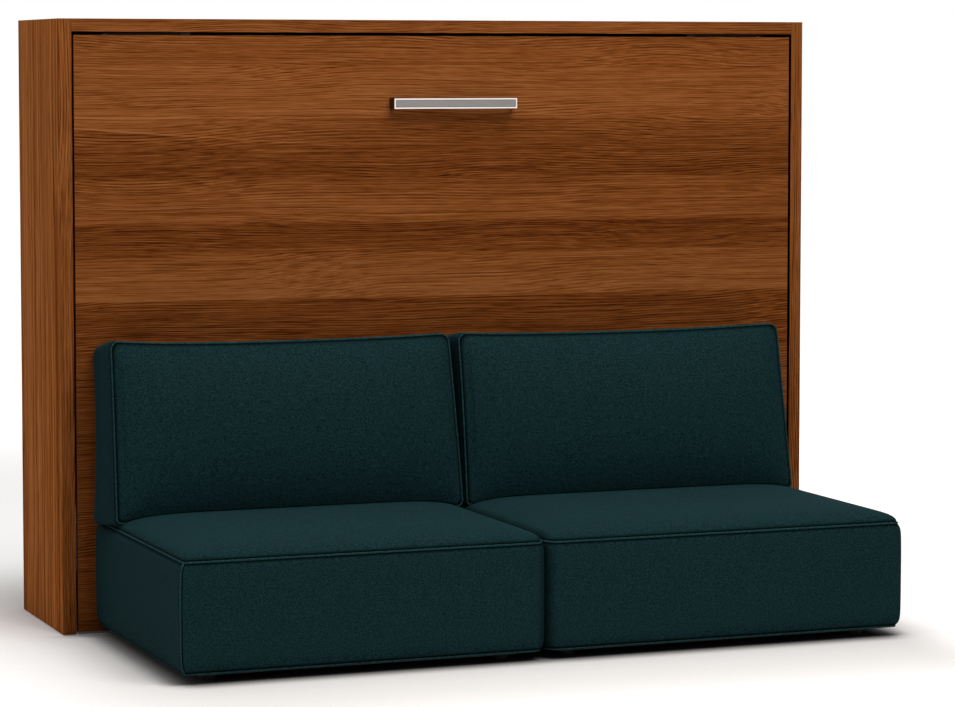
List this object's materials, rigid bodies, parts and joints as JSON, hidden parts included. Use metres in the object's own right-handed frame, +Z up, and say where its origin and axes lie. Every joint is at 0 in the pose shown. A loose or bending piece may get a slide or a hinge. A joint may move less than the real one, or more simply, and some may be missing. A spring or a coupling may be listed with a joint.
{
  "type": "wall bed with sofa",
  "caption": "Horizontal wall bed in a low wood cabinet, its front tilting down over a two-module sofa, with fold-out legs, gas springs and loose back cushions.",
  "frame": {"origin": "on the floor, in the middle of the footprint of the closed bed with its sofa", "axes": "+Z up; +Y towards the wall behind the cabinet; +X along the front, to the right as one faces it"},
  "size_m": [2.157, 1.2494, 1.62],
  "materials": {
    "wood": "satin walnut-coloured laminate with dark edging",
    "birch": "clear-lacquered laminated beech slats and softwood battens",
    "sheet": "thin hardboard sheet, matt",
    "handle": "brushed satin steel with polished edges",
    "steel": "zinc-plated steel, satin",
    "black_steel": "black powder coat",
    "chrome_rod": "ground and chromed rod",
    "nylon": "black nylon, matt",
    "magnet": "magnet block in a grey painted case",
    "upholstery": "fine-weave dark petrol upholstery fabric",
    "piping": "corded edge in the same dark petrol fabric",
    "ticking": "off-white quilted mattress cover",
    "webbing": "black woven strap"
  },
  "bodies": {
    "cabinet": {"side_panel_left": "wood", "side_panel_right": "wood", "top_panel": "wood", "upper_wall_rail": "wood", "lower_wall_rail": "wood", "back_panel": "sheet", "cabinet_glides": "nylon", "corner_brackets": "steel", "bracket_screws": "steel", "pivot_plate_left": "steel", "pivot_plate_right": "steel", "pivot_pin_left": "steel", "pivot_pin_right": "steel", "gas_anchor_left": "steel", "gas_anchor_right": "steel", "plate_screws": "steel", "catch_magnets": "magnet"},
    "bed": {"front_panel": "wood", "handle_grip": "handle", "handle_posts": "handle", "handle_screws": "steel", "upper_rail": "wood", "lower_rail": "wood", "end_board_left": "wood", "end_board_right": "wood", "panel_battens": "birch", "slat_ledges": "birch", "slats": "birch", "slat_caps": "nylon", "mattress": "ticking", "mattress_straps": "webbing", "bed_plate_left": "steel", "bed_plate_right": "steel", "pivot_bush_left": "nylon", "pivot_bush_right": "nylon", "gas_stud_left": "steel", "gas_stud_right": "steel", "bed_plate_bolts": "steel", "catch_strikes": "steel", "leg_pivots": "steel"},
    "leg_left": {"leg_left": "black_steel", "leg_foot_left": "nylon"},
    "leg_right": {"leg_right": "black_steel", "leg_foot_right": "nylon"},
    "gas_cylinder_left": {"gas_cylinder_left": "black_steel"},
    "gas_cylinder_right": {"gas_cylinder_right": "black_steel"},
    "gas_rod_left": {"gas_rod_left": "chrome_rod"},
    "gas_rod_right": {"gas_rod_right": "chrome_rod"},
    "seats": {"seat_left": "upholstery", "seat_right": "upholstery", "seat_piping_left": "piping", "seat_piping_right": "piping", "seat_frame_left": "birch", "seat_frame_right": "birch", "seat_glides_left": "nylon", "seat_glides_right": "nylon"},
    "cushion_left": {"back_cushion_left": "upholstery", "back_piping_left": "piping"},
    "cushion_right": {"back_cushion_right": "upholstery", "back_piping_right": "piping"}
  },
  "joints": [
    {"name": "bed_tilt", "type": "hinge", "parent": "cabinet", "child": "bed", "pos_m": [0, 0.22265, 0.25], "axis": [1, 0, 0], "range_deg": [0, 90]},
    {"name": "leg_left_swing", "type": "hinge", "parent": "bed", "child": "leg_left", "pos_m": [-0.95, 0.20265, 1.5784], "axis": [0, 0, -1], "range_deg": [0, 90]},
    {"name": "leg_right_swing", "type": "hinge", "parent": "bed", "child": "leg_right", "pos_m": [0.95, 0.20265, 1.5784], "axis": [0, 0, 1], "range_deg": [0, 90]},
    {"name": "seats_slide", "type": "slide", "parent": "cabinet", "child": "seats", "axis": [0, -1, 0], "range_m": [0, 1.97]},
    {"name": "cushion_left_lift", "type": "slide", "parent": "seats", "child": "cushion_left", "axis": [0, 0, 1], "range_m": [0, 0.3]},
    {"name": "cushion_right_lift", "type": "slide", "parent": "seats", "child": "cushion_right", "axis": [0, 0, 1], "range_m": [0, 0.3]},
    {"name": "gas_left_swing", "type": "hinge", "parent": "cabinet", "child": "gas_cylinder_left", "pos_m": [-1.03125, 0.27765, 0.85], "axis": [1, 0, 0], "range_deg": [0, 8.75]},
    {"name": "gas_right_swing", "type": "hinge", "parent": "cabinet", "child": "gas_cylinder_right", "pos_m": [1.03125, 0.27765, 0.85], "axis": [1, 0, 0], "range_deg": [0, 8.75]},
    {"name": "gas_left_stroke", "type": "slide", "parent": "gas_cylinder_left", "child": "gas_rod_left", "axis": [0, -0.0389, -0.9992], "range_m": [-0.1445, 0]},
    {"name": "gas_right_stroke", "type": "slide", "parent": "gas_cylinder_right", "child": "gas_rod_right", "axis": [0, -0.0389, -0.9992], "range_m": [-0.1445, 0]}
  ],
  "couplings": [
    {"joint": "seats_slide", "follows": "bed_tilt", "m_per_rad": 1.25},
    {"joint": "gas_left_swing", "follows": "bed_tilt", "ratio": 0.096654},
    {"joint": "gas_right_swing", "follows": "bed_tilt", "ratio": 0.096654},
    {"joint": "gas_left_stroke", "follows": "bed_tilt", "m_per_rad": -0.09159},
    {"joint": "gas_right_stroke", "follows": "bed_tilt", "m_per_rad": -0.09159}
  ]
}
